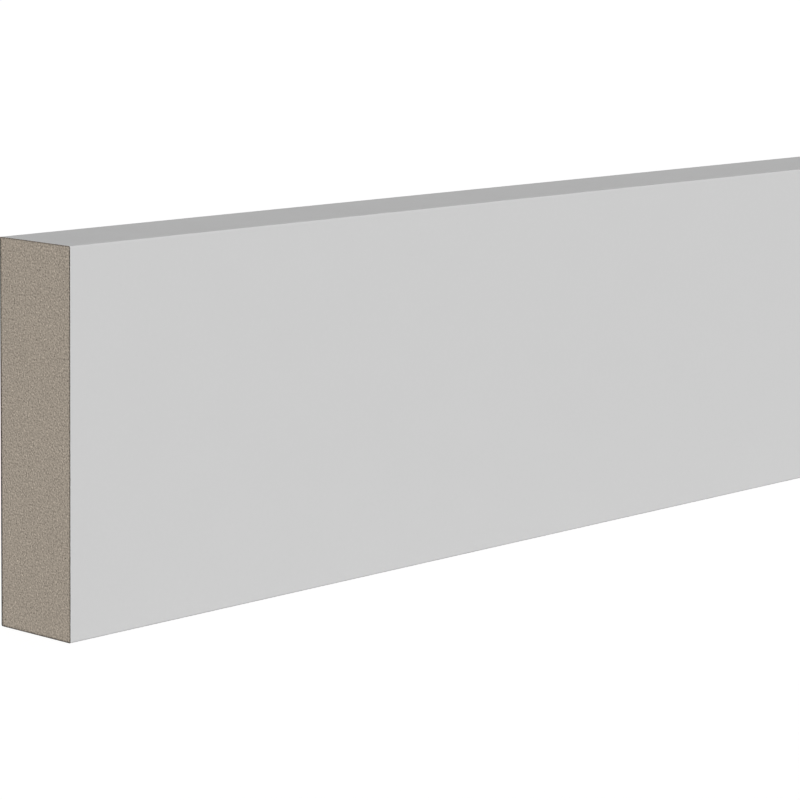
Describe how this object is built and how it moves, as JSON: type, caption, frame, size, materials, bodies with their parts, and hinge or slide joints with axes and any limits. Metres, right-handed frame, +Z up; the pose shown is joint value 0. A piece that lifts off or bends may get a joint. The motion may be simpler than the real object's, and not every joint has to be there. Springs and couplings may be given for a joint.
{
  "type": "wall moulding",
  "caption": "Square-edge wall moulding board, primed pale grey on its long faces and sawn square at both ends, for use as skirting, architrave or panel trim.",
  "frame": {"origin": "on the floor, under the middle of the board: halfway along its length, halfway through its thickness, on its lower edge", "axes": "+X along the board from its left sawn end to its right one, seen from the room; +Y through its thickness, from the room towards the wall; +Z up its face"},
  "size_m": [2.4, 0.018, 0.069],
  "materials": {
    "primed_fibreboard": "matte"
  },
  "bodies": {
    "root": {"board": "primed_fibreboard"}
  },
  "joints": []
}
